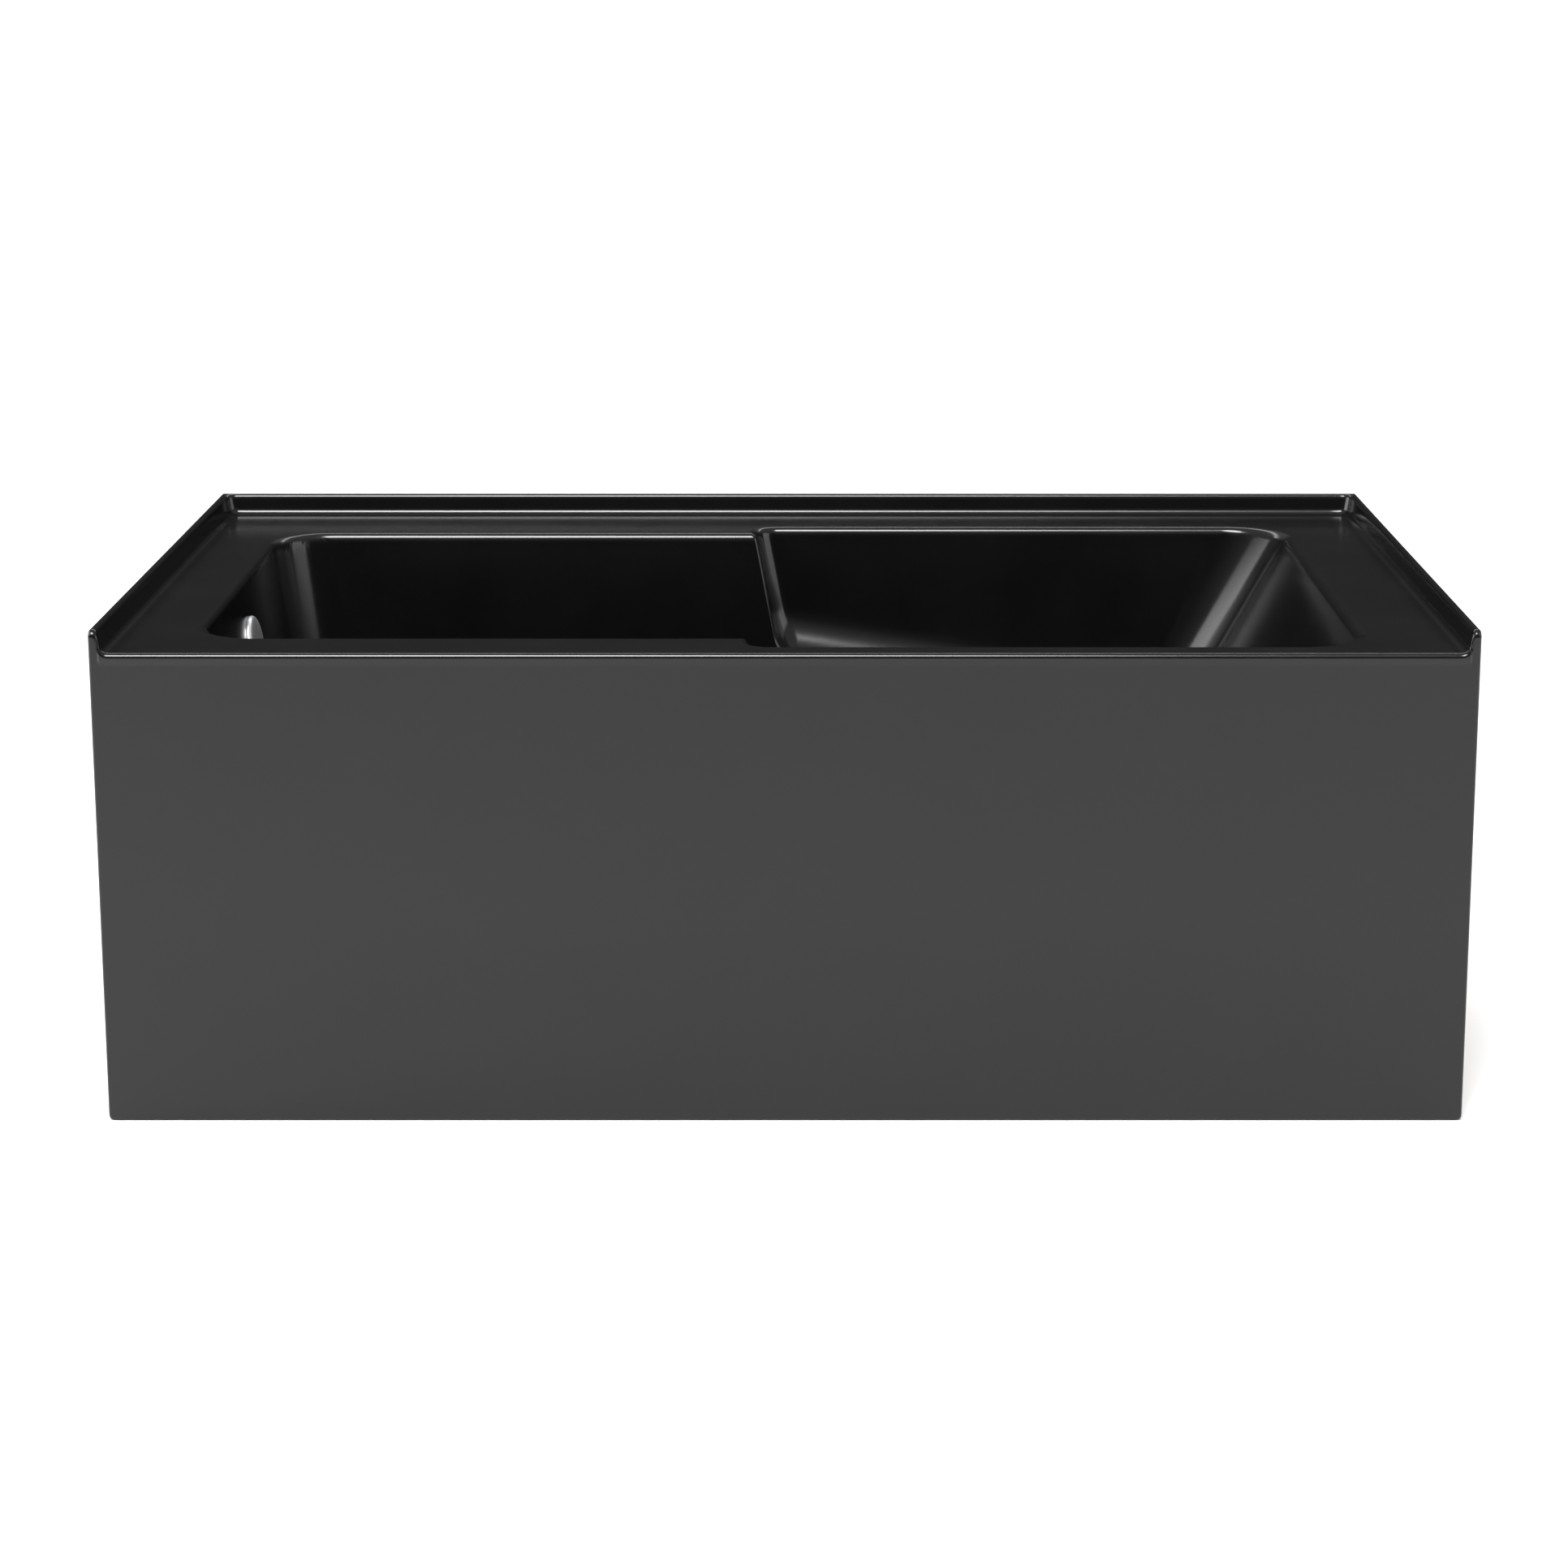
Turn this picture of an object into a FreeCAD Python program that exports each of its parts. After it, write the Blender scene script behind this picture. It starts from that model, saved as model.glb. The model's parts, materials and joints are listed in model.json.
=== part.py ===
import FreeCAD, Part
import os
from math import cos, radians, sin, sqrt, tan

V = FreeCAD.Vector

# Alcove bathtub with an integral front apron and a tile flange on three sides.
# Millimetres, +Z up, +X along the length to the right, the apron faces -Y.
# The origin is the bottom centre of the bounding box, so the floor is z = 0.

# Overall size
LENGTH = 1524.0
DEPTH = 813.0
DECK_Z = 540.0
FLANGE_RISE = 26.0

# Tile flange section
FLANGE_BASE = 14.0
FLANGE_DRAFT = 11.0
FLANGE_ROUND = 3.6
FLANGE_END_ROUND = 9.0
FLANGE_FOOT_ROUND = 7.0
APRON_END_ROUND = 3.0
FLANGE_CORNER_ROUND = 12.0
BULLNOSE = 5.5

# Moulding thicknesses
ACRYLIC = 4.0
GLASS = 3.0

# Basin outline at deck level
BASIN_Y = -34.0
BASIN_LEFT = -658.0
BASIN_RIGHT = 645.0
STEP_X = -42.0
NARROW_HALF = 292.0
WIDE_HALF = 333.0
FLOOR_Z = 110.0

# Basin wall slopes, in degrees from vertical
LEFT_DRAFT = 8.0
SIDE_DRAFT = 7.0
STEP_DRAFT = 11.0
BACKREST = 30.0

# Armrest ledge
LEDGE_X = -20.0
LEDGE_DROP = 166.0
LEDGE_SLOPE = 9.0

# Basin rounding radii
RIM_ROUND = 8.0
STEP_ROUND = 8.0
RECESS_ROUND = 20.0
CORNER_ROUND = 65.0
FLOOR_ROUND = 50.0

# Apron edges that turn in behind the front face
APRON_RETURN = 34.0
APRON_LIP = 22.0

# Timber under the deck and behind the apron
TIMBER = 18.0
BATTEN_H = 40.0
BATTEN_HALF = 730.0
SKIRT_BATTEN_Z = 12.0
SKIRT_BATTEN_H = 60.0
RIB_W = 60.0
RIB_XS = (-560.0, -190.0, 190.0, 560.0)
END_BATTEN_X = 755.0
BACK_BATTEN_Y = 358.0

# Base board and cross rails
BOARD_X0 = -440.0
BOARD_X1 = 350.0
BOARD_HALF = 180.0
RAIL = 30.0
RAIL_WALL = 2.0
RAIL_XS = {"left": -410.0, "middle": -30.0, "right": 320.0}
RAIL_Y0 = -376.0
RAIL_Y1 = 330.0

# Levelling feet: an M12 stud with a hex collar, turning in a swivel pad
FOOT_YS = (-300.0, 250.0)
STUD_R = 6.0
STUD_TOP = 70.0
STUD_HEAD_R = 8.0
STUD_HEAD_Z0 = 6.0
STUD_HEAD_Z1 = 12.0
COLLAR_Z0 = 17.0
COLLAR_Z1 = 23.0
COLLAR_AF = 17.0
PAD_R = 26.0
PAD_EDGE_Z = 4.0
PAD_SHOULDER_R = 23.0
PAD_SHOULDER_Z = 6.0
PAD_NECK_R = 13.0
PAD_NECK_Z = 11.0
PAD_Z1 = 16.0
NUT_AF = 19.0
NUT_H = 8.0
WELD_NUT_H = 10.0
RUNNING = 0.06

# Screws
SCREW_R = 2.2
SCREW_HEAD_R = 4.5
SCREW_HEAD_H = 2.0
RAIL_SCREW_BITE = 12.6
RAIL_SCREW_YS = (-180.0, -90.0, 30.0, 120.0)
BRACKET_T = 2.0
BRACKET_LEG = 46.0
BRACKET_Z0 = 22.0
BRACKET_SCREW_DX = 8.0
BRACKET_SCREW_OUT = 32.0
BRACKET_SCREW_BITE = 14.4
BRACKET_BOLT_L = 8.0

# Waste and overflow pipework, 38.1 mm outside diameter
PIPE_R = 19.05
PIPE_BORE = 17.5
DRAIN_X = -500.0
STACK_X = -700.0
WASTE_Z = 66.0
SOCKET_R = 24.0
SLIP_NUT_AF = 54.0
SLIP_NUT_H = 16.0
NUT_COLLAR = 4.0
TEE_ARM = 46.0
TEE_FOOT = 38.0
TAIL_NECK_R = 18.6
PIPE_IN = 12.0
TAIL_Z0 = 5.0

# Drain and stopper
DRAIN_FLANGE_R = 35.0
DRAIN_FLANGE_T = 3.0
DRAIN_THROAT_R = 24.0
DRAIN_BORE_R = 20.0
DRAIN_EDGE_T = 1.0
DRAIN_BEVEL = 4.0
DRAIN_DISH_R = 27.0
THROAT_BELOW = 8.0
DRAIN_GASKET_R = 38.0
DRAIN_GASKET_T = 3.0
SHOE_R = 30.0
SHOE_Z0 = 38.0
SHOE_OUTLET = 50.0
SHOE_COLLAR_T = 4.0
SHOE_BASE_T = 6.0
CROSS_BAR_Z = 88.0
CROSS_BAR_H = 5.0
CROSS_BAR_W = 6.0
CROSS_BOSS_R = 8.0
WELD = 1.0
POST_R = 5.0
POST_Z1 = 118.0
CAP_R = 27.0
CAP_WALL = 2.0
CAP_SLEEVE_R = 8.0
CAP_SLEEVE_Z = 104.0
CAP_EDGE_T = 2.0
CAP_SHOULDER = 3.0
CAP_CROWN_R = 15.0
CAP_CROWN_DROP = 0.6
CAP_Z1 = 124.0
SEAL_R0 = 20.0
SEAL_R1 = 25.5
SEAL_T = 1.6
SEAT_GAP = 0.2

# Overflow
OVERFLOW_DROP = 79.0
OVERFLOW_FOOT_DROP = 129.0
COVER_R = 36.0
COVER_H = 9.0
COVER_WALL = 1.6
COVER_BEVEL = 3.0
CROWN_ANGLES = tuple(range(30, 91, 6))
OVERFLOW_HOLE_R = 26.0
OVERFLOW_GASKET_T = 4.0
OVERFLOW_BODY_R = 26.0
OVERFLOW_LIP_R = 35.0
OVERFLOW_LIP_T = 4.0
BRIDGE_W = 10.0
BRIDGE_T = 4.0
BRIDGE_IN = 8.0
COVER_SCREW_R = 3.0
COVER_SCREW_HEAD_R = 5.0
COVER_SCREW_HEAD_H = 2.2
COVER_SCREW_IN = 14.0
COVER_NOTCH_W = 26.0
COVER_NOTCH_H = 6.0

# Worked out from the dimensions above
HALF_L = LENGTH / 2.0
FRONT_Y = -DEPTH / 2.0
BACK_Y = DEPTH / 2.0
TOP_Z = DECK_Z + FLANGE_RISE
SKIN = ACRYLIC + GLASS
BOARD_Z1 = FLOOR_Z - SKIN
BOARD_Z0 = BOARD_Z1 - TIMBER
RAIL_Z0 = BOARD_Z0 - RAIL
DECK_UNDER = DECK_Z - SKIN
APRON_INNER = FRONT_Y + SKIN
BATTEN_BACK = APRON_INNER + TIMBER
FAR = 60.0
PAST = 1.0
TOUCH = 0.001


# ---- general helpers ----

def box(x0, x1, y0, y1, z0, z1):
    return Part.makeBox(x1 - x0, y1 - y0, z1 - z0, V(x0, y0, z0))


def rod(radius, start, end):
    run = end - start
    return Part.makeCylinder(radius, run.Length, start, run)


def tube(outer, inner, start, end):
    return rod(outer, start, end).cut(rod(inner, start, end))


def lathe(profile, base, axis):
    """A closed outline of (radius, height) pairs, turned about an axis through base."""
    side = axis.cross(V(0, 1, 0))
    if side.Length < 0.1:
        side = axis.cross(V(1, 0, 0))
    side.normalize()
    points = [base + side * r + axis * h for r, h in profile]
    outline = Part.makePolygon(points + [points[0]])
    return Part.Face(outline).revolve(base, axis, 360)


def hex_prism(flats, start, end):
    """A hexagonal bar between two points, with its flats this far apart."""
    run = end - start
    placed = FreeCAD.Placement(start, FreeCAD.Rotation(V(0, 0, 1), run))
    corner = flats / sqrt(3.0)
    points = [placed.multVec(V(corner * cos(radians(a)), corner * sin(radians(a)), 0))
              for a in range(0, 361, 60)]
    return Part.Face(Part.makePolygon(points)).extrude(run)


def hex_nut(flats, bore, start, end):
    return hex_prism(flats, start, end).cut(rod(bore, start, end))


def slip_nut(mouth, out):
    """A nut over the mouth of a pipe socket: a wide bore over the socket, a narrow one over the pipe."""
    end = mouth + out * NUT_COLLAR
    start = end - out * SLIP_NUT_H
    nut = hex_prism(SLIP_NUT_AF, start, end)
    return nut.cut(rod(PIPE_R, start, end)).cut(rod(SOCKET_R, start, mouth))


def save(name, shape):
    shape.exportStep(os.path.join("parts", name + ".step"))


# ---- planes and the solids between them ----

def plane(point, normal, shift):
    return point + normal * shift, normal


def meet(first, second, third):
    """The point where three planes cross."""
    n1, n2, n3 = first[1], second[1], third[1]
    top = (n2.cross(n3) * first[0].dot(n1) + n3.cross(n1) * second[0].dot(n2)
           + n1.cross(n2) * third[0].dot(n3))
    return top / n1.dot(n2.cross(n3))


def between(left, right, front, back, bottom, top):
    """The solid between six planes."""
    low = [meet(left, front, bottom), meet(right, front, bottom),
           meet(right, back, bottom), meet(left, back, bottom)]
    high = [meet(left, front, top), meet(right, front, top),
            meet(right, back, top), meet(left, back, top)]
    rings = [low[::-1], high] + [[low[i], low[i - 3], high[i - 3], high[i]] for i in range(4)]
    faces = [Part.Face(Part.makePolygon(ring + [ring[0]])) for ring in rings]
    return Part.Solid(Part.Shell(faces))


def shared_edges(shape, first, second):
    """Straight edges that lie in both planes."""
    found = []
    for edge in shape.Edges:
        gaps = [abs((vertex.Point - p).dot(n)) for vertex in edge.Vertexes for p, n in (first, second)]
        if max(gaps) < TOUCH:
            found.append(edge)
    return found


def rounded(shape, radius, pairs):
    edges = []
    for first, second in pairs:
        edges += shared_edges(shape, first, second)
    return shape.makeFillet(radius, edges)


# ---- basin ----

def leaning(x, y, nx, ny, angle, shift):
    """A wall plane through (x, y) at deck level that leans in as it goes down."""
    normal = V(nx * cos(radians(angle)), ny * cos(radians(angle)), -sin(radians(angle)))
    return plane(V(x, y, DECK_Z), normal, shift)


def basin_planes(shift):
    """The planes of the basin's faces, moved out by shift."""
    slope = radians(LEDGE_SLOPE)
    return {
        "left": leaning(BASIN_LEFT, 0, -1, 0, LEFT_DRAFT, shift),
        "right": leaning(BASIN_RIGHT, 0, 1, 0, BACKREST, shift),
        "step": leaning(STEP_X, 0, -1, 0, STEP_DRAFT, shift),
        "narrow_front": leaning(0, BASIN_Y - NARROW_HALF, 0, -1, SIDE_DRAFT, shift),
        "narrow_back": leaning(0, BASIN_Y + NARROW_HALF, 0, 1, SIDE_DRAFT, shift),
        "wide_front": leaning(0, BASIN_Y - WIDE_HALF, 0, -1, SIDE_DRAFT, shift),
        "wide_back": leaning(0, BASIN_Y + WIDE_HALF, 0, 1, SIDE_DRAFT, shift),
        "ledge": plane(V(LEDGE_X, 0, DECK_Z - LEDGE_DROP), V(-sin(slope), 0, -cos(slope)), shift),
        "floor": plane(V(0, 0, FLOOR_Z), V(0, 0, -1), shift),
        "top": plane(V(0, 0, TOP_Z + FAR), V(0, 0, 1), 0),
    }


def basin(shift):
    """The hollow of the basin: a narrow well, and a wider recess above the armrests."""
    p = basin_planes(shift)
    well = between(p["left"], p["right"], p["narrow_front"], p["narrow_back"], p["floor"], p["top"])
    recess = between(p["step"], p["right"], p["wide_front"], p["wide_back"], p["ledge"], p["top"])
    hollow = well.fuse(recess).removeSplitter()
    narrow = (p["narrow_front"], p["narrow_back"])
    wide = (p["wide_front"], p["wide_back"])
    hollow = rounded(hollow, CORNER_ROUND, [(p["left"], side) for side in narrow])
    hollow = rounded(hollow, CORNER_ROUND, [(p["right"], side) for side in wide])
    hollow = rounded(hollow, FLOOR_ROUND, [(p["left"], p["floor"])])
    hollow = rounded(hollow, RECESS_ROUND, [(p["step"], side) for side in wide])
    hollow = rounded(hollow, RECESS_ROUND, [(p["step"], p["ledge"])])
    return rounded(hollow, STEP_ROUND, [(face, side) for face in (p["step"], p["ledge"]) for side in narrow])


def flange_planes():
    """The inner faces of the tile flange, and the deck between them."""
    lean = radians(FLANGE_DRAFT)
    return {
        "left": plane(V(FLANGE_BASE - HALF_L, 0, DECK_Z), V(-cos(lean), 0, -sin(lean)), 0),
        "right": plane(V(HALF_L - FLANGE_BASE, 0, DECK_Z), V(cos(lean), 0, -sin(lean)), 0),
        "back": plane(V(0, BACK_Y - FLANGE_BASE, DECK_Z), V(0, cos(lean), -sin(lean)), 0),
        "front": plane(V(0, FRONT_Y - FAR, 0), V(0, -1, 0), 0),
        "deck": plane(V(0, 0, DECK_Z), V(0, 0, -1), 0),
        "top": plane(V(0, 0, TOP_Z + FAR), V(0, 0, 1), 0),
    }


def rounded_where(shape, radius, test):
    """Round the edges whose ends all pass a test."""
    edges = [edge for edge in shape.Edges if all(test(vertex.Point) for vertex in edge.Vertexes)]
    return shape.makeFillet(radius, edges)


def near(value, target):
    return abs(value - target) < TOUCH


def outer_form():
    """The visible outside as one block: apron, deck, tile flange and basin."""
    f = flange_planes()
    above = between(f["left"], f["right"], f["front"], f["back"], f["deck"], f["top"])
    above = rounded(above, FLANGE_CORNER_ROUND, [(f["left"], f["back"]), (f["right"], f["back"])])
    above = rounded(above, FLANGE_FOOT_ROUND, [(f["left"], f["deck"])])
    form = box(-HALF_L, HALF_L, FRONT_Y, BACK_Y, 0, TOP_Z).cut(above)
    form = rounded_where(form, FLANGE_END_ROUND, lambda p: near(p.y, FRONT_Y) and near(p.z, TOP_Z))
    form = rounded_where(form, BULLNOSE, lambda p: near(p.y, FRONT_Y) and near(p.z, DECK_Z))
    form = rounded_where(form, APRON_END_ROUND,
                         lambda p: near(p.y, FRONT_Y) and near(abs(p.x), HALF_L))
    form = rounded_where(form, FLANGE_ROUND, lambda p: near(p.z, TOP_Z) and p.y > FRONT_Y + TOUCH)
    form = form.cut(basin(0))
    inside = HALF_L - FLANGE_BASE * 2
    return rounded_where(form, RIM_ROUND, lambda p: near(p.z, DECK_Z) and abs(p.x) < inside
                         and FRONT_Y + FLANGE_BASE * 2 < p.y < BACK_Y - FLANGE_BASE * 2)


# ---- shell ----

def drain_axis():
    return V(DRAIN_X, BASIN_Y, 0), V(0, 0, 1)


def overflow_axis(shift):
    """Centre of the overflow on the left wall, moved out by shift, and the way out of the basin."""
    lean = radians(LEFT_DRAFT)
    outward = V(-cos(lean), 0, -sin(lean))
    on_wall = V(BASIN_LEFT + OVERFLOW_DROP * tan(lean), BASIN_Y, DECK_Z - OVERFLOW_DROP)
    return on_wall + outward * shift, outward


def shell_holes():
    """The drain hole in the floor and the overflow hole in the left wall."""
    centre, out = overflow_axis(0)
    base, up = drain_axis()
    drain = rod(DRAIN_THROAT_R, base + up * (BOARD_Z1 - PAST), base + up * (FLOOR_Z + PAST))
    return drain.fuse(rod(OVERFLOW_HOLE_R, centre - out * PAST, centre + out * (SKIN + PAST)))


def skin_core(shift, bottom, reach):
    """Everything that lies no deeper than shift behind the visible surface."""
    deck = box(-reach, reach, FRONT_Y, BACK_Y, DECK_Z - shift, TOP_Z)
    apron = box(-reach, reach, FRONT_Y, FRONT_Y + shift, bottom, DECK_Z)
    return basin(shift).fuse(deck).fuse(apron)


def acrylic_shell():
    core = skin_core(ACRYLIC, 0, HALF_L)
    for x0, x1 in ((-HALF_L, ACRYLIC - HALF_L), (HALF_L - ACRYLIC, HALF_L)):
        core = core.fuse(box(x0, x1, FRONT_Y, FRONT_Y + APRON_RETURN, 0, DECK_Z))
    core = core.fuse(box(-HALF_L, HALF_L, FRONT_Y, FRONT_Y + APRON_LIP, 0, ACRYLIC))
    return outer_form().common(core).cut(shell_holes())


def fibreglass_backing():
    reach = HALF_L - 2 * ACRYLIC
    outer = skin_core(SKIN, SKIRT_BATTEN_Z, reach)
    inner = skin_core(ACRYLIC, 0, HALF_L)
    keep = box(-reach, reach, FRONT_Y, BACK_Y - 2 * ACRYLIC, 0, DECK_Z)
    return outer.cut(inner).common(keep).cut(shell_holes())


# ---- timber and frame ----

def screws_along(points, direction, length):
    """Screws with a pan head at each point and a shank running along direction."""
    parts = []
    for point in points:
        shank = rod(SCREW_R, point, point + direction * length)
        head = rod(SCREW_HEAD_R, point - direction * SCREW_HEAD_H, point)
        parts.append(shank.fuse(head))
    return parts


def rail_screws():
    points = [V(x, y, RAIL_Z0) for x in RAIL_XS.values() for y in RAIL_SCREW_YS]
    return screws_along(points, V(0, 0, 1), RAIL + RAIL_SCREW_BITE)


def bracket_screws():
    parts = []
    for x in RAIL_XS.values():
        for dx in (-BRACKET_SCREW_DX, BRACKET_SCREW_DX):
            upright = V(x + dx, BATTEN_BACK + BRACKET_T, BRACKET_Z0 + BRACKET_SCREW_DX)
            flat = V(x + dx, BATTEN_BACK + BRACKET_SCREW_OUT, RAIL_Z0 - BRACKET_T)
            parts += screws_along([upright], V(0, -1, 0), BRACKET_SCREW_BITE)
            parts += screws_along([flat], V(0, 0, 1), BRACKET_BOLT_L)
    return parts


def without(shape, tools):
    for tool in tools:
        shape = shape.cut(tool)
    return shape


def base_board():
    board = box(BOARD_X0, BOARD_X1, BASIN_Y - BOARD_HALF, BASIN_Y + BOARD_HALF, BOARD_Z0, BOARD_Z1)
    return without(board, rail_screws())


def foot_places():
    return [(x, y) for x in RAIL_XS.values() for y in FOOT_YS]


def cross_rail(x):
    half = RAIL / 2
    rail = box(x - half, x + half, RAIL_Y0, RAIL_Y1, RAIL_Z0, BOARD_Z0)
    inner = half - RAIL_WALL
    rail = rail.cut(box(x - inner, x + inner, RAIL_Y0, RAIL_Y1, RAIL_Z0 + RAIL_WALL, BOARD_Z0 - RAIL_WALL))
    for y in FOOT_YS:
        low = V(x, y, RAIL_Z0 - PAST)
        rail = rail.cut(rod(STUD_R + 2 * RUNNING, low, V(x, y, RAIL_Z0 + RAIL_WALL + PAST)))
    return without(rail, rail_screws() + bracket_screws())


def weld_nuts():
    z0 = RAIL_Z0 + RAIL_WALL
    return [hex_nut(NUT_AF, STUD_R + RUNNING, V(x, y, z0), V(x, y, z0 + WELD_NUT_H))
            for x, y in foot_places()]


def lock_nuts():
    return [hex_nut(NUT_AF, STUD_R + RUNNING, V(x, y, RAIL_Z0 - NUT_H), V(x, y, RAIL_Z0))
            for x, y in foot_places()]


def bracket(x):
    half = RAIL / 2
    upright = box(x - half, x + half, BATTEN_BACK, BATTEN_BACK + BRACKET_T, BRACKET_Z0, RAIL_Z0)
    flat = box(x - half, x + half, BATTEN_BACK, BATTEN_BACK + BRACKET_LEG, RAIL_Z0 - BRACKET_T, RAIL_Z0)
    return without(upright.fuse(flat), bracket_screws())


def timbers():
    """Battens round the deck, a batten at the foot of the apron, and upright ribs between."""
    z1 = DECK_UNDER
    z0 = z1 - BATTEN_H
    skirt_top = SKIRT_BATTEN_Z + SKIRT_BATTEN_H
    parts = {
        "apron_top_batten": box(-BATTEN_HALF, BATTEN_HALF, APRON_INNER, BATTEN_BACK, z0, z1),
        "back_batten": box(-BATTEN_HALF, BATTEN_HALF, BACK_BATTEN_Y - TIMBER, BACK_BATTEN_Y, z0, z1),
        "left_end_batten": box(-END_BATTEN_X, TIMBER - END_BATTEN_X, BATTEN_BACK, BACK_BATTEN_Y, z0, z1),
        "right_end_batten": box(END_BATTEN_X - TIMBER, END_BATTEN_X, BATTEN_BACK, BACK_BATTEN_Y, z0, z1),
    }
    skirt = box(-BATTEN_HALF, BATTEN_HALF, APRON_INNER, BATTEN_BACK, SKIRT_BATTEN_Z, skirt_top)
    parts["apron_bottom_batten"] = without(skirt, bracket_screws())
    for number, x in enumerate(RIB_XS, 1):
        rib = box(x - RIB_W / 2, x + RIB_W / 2, APRON_INNER, BATTEN_BACK, skirt_top, z0)
        parts["apron_rib_%d" % number] = rib
    return parts


# ---- levelling feet ----

def foot_pad(x, y):
    """A round foot with a socket that holds the head of the stud."""
    bore = STUD_R + RUNNING
    socket = STUD_HEAD_R + RUNNING
    profile = [(0, 0), (PAD_R, 0), (PAD_R, PAD_EDGE_Z), (PAD_SHOULDER_R, PAD_SHOULDER_Z),
               (PAD_NECK_R, PAD_NECK_Z), (PAD_NECK_R, PAD_Z1), (bore, PAD_Z1),
               (bore, STUD_HEAD_Z1 + RUNNING), (socket, STUD_HEAD_Z1 + RUNNING),
               (socket, STUD_HEAD_Z0), (0, STUD_HEAD_Z0)]
    return lathe(profile, V(x, y, 0), V(0, 0, 1))


def foot_stud(x, y):
    head = rod(STUD_HEAD_R, V(x, y, STUD_HEAD_Z0), V(x, y, STUD_HEAD_Z1))
    shank = rod(STUD_R, V(x, y, STUD_HEAD_Z0), V(x, y, STUD_TOP))
    collar = hex_prism(COLLAR_AF, V(x, y, COLLAR_Z0), V(x, y, COLLAR_Z1))
    return shank.fuse(head).fuse(collar)


# ---- drain and stopper ----

def drain_flange():
    """A flanged throat through the floor, with a cross bar that holds the stopper post."""
    base, up = drain_axis()
    throat_z = BOARD_Z0 - THROAT_BELOW
    profile = [(DRAIN_BORE_R, throat_z), (DRAIN_THROAT_R, throat_z), (DRAIN_THROAT_R, FLOOR_Z),
               (DRAIN_FLANGE_R, FLOOR_Z), (DRAIN_FLANGE_R, FLOOR_Z + DRAIN_EDGE_T),
               (DRAIN_FLANGE_R - DRAIN_BEVEL, FLOOR_Z + DRAIN_FLANGE_T),
               (DRAIN_DISH_R, FLOOR_Z + DRAIN_FLANGE_T), (DRAIN_BORE_R, FLOOR_Z + DRAIN_EDGE_T)]
    ring = lathe(profile, base, up)
    low = CROSS_BAR_Z - CROSS_BAR_H
    reach = DRAIN_BORE_R + WELD
    bar = box(DRAIN_X - reach, DRAIN_X + reach, BASIN_Y - CROSS_BAR_W / 2, BASIN_Y + CROSS_BAR_W / 2,
              low, CROSS_BAR_Z)
    boss = rod(CROSS_BOSS_R, base + up * low, base + up * CROSS_BAR_Z)
    return ring.fuse(bar).fuse(boss)


def stopper():
    """Toe-tap stopper: a fixed post, and a domed cap with a seal that slides on it."""
    base, up = drain_axis()
    seat = FLOOR_Z + DRAIN_FLANGE_T
    cap_z0 = seat + SEAT_GAP + SEAL_T
    sleeve = POST_R + RUNNING
    cap = [(sleeve, CAP_SLEEVE_Z), (CAP_SLEEVE_R, CAP_SLEEVE_Z), (CAP_SLEEVE_R, cap_z0), (CAP_R, cap_z0),
           (CAP_R, cap_z0 + CAP_EDGE_T), (CAP_R - CAP_SHOULDER, CAP_Z1 - CAP_SHOULDER),
           (CAP_CROWN_R, CAP_Z1 - CAP_CROWN_DROP), (0, CAP_Z1), (0, CAP_Z1 - CAP_WALL),
           (sleeve, CAP_Z1 - CAP_WALL)]
    seal = [(SEAL_R0, seat + SEAT_GAP), (SEAL_R1, seat + SEAT_GAP), (SEAL_R1, cap_z0), (SEAL_R0, cap_z0)]
    return {
        "stopper_post": rod(POST_R, base + up * CROSS_BAR_Z, base + up * POST_Z1),
        "stopper_cap": lathe(cap, base, up),
        "stopper_seal": lathe(seal, base, up),
    }


def drain_shoe():
    """An elbow clamped under the floor, with its outlet towards the left end."""
    base, up = drain_axis()
    top = BOARD_Z1 - DRAIN_GASKET_T
    body = rod(SHOE_R, base + up * SHOE_Z0, base + up * top)
    collar = rod(DRAIN_GASKET_R, base + up * (top - SHOE_COLLAR_T), base + up * top)
    axis_start = V(DRAIN_X, BASIN_Y, WASTE_Z)
    outlet = rod(SOCKET_R, axis_start, axis_start - V(SHOE_OUTLET, 0, 0))
    shoe = body.fuse(collar).fuse(outlet)
    shoe = shoe.cut(rod(DRAIN_THROAT_R, base + up * (BOARD_Z0 - THROAT_BELOW), base + up * top))
    shoe = shoe.cut(rod(DRAIN_BORE_R, base + up * (SHOE_Z0 + SHOE_BASE_T), base + up * top))
    return shoe.cut(rod(PIPE_R, axis_start, axis_start - V(SHOE_OUTLET, 0, 0)))


def tailpiece(low, foot):
    """The last pipe, necked where the slip nut grips it, with its upper end inside the tee."""
    neck_z1 = foot.z - low.z
    neck_z0 = neck_z1 - NUT_COLLAR
    top = neck_z1 + PIPE_IN
    profile = [(PIPE_BORE, 0), (PIPE_R, 0), (PIPE_R, neck_z0), (TAIL_NECK_R, neck_z0),
               (TAIL_NECK_R, neck_z1), (PIPE_R, neck_z1), (PIPE_R, top), (PIPE_BORE, top)]
    return lathe(profile, low, V(0, 0, 1))


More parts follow.
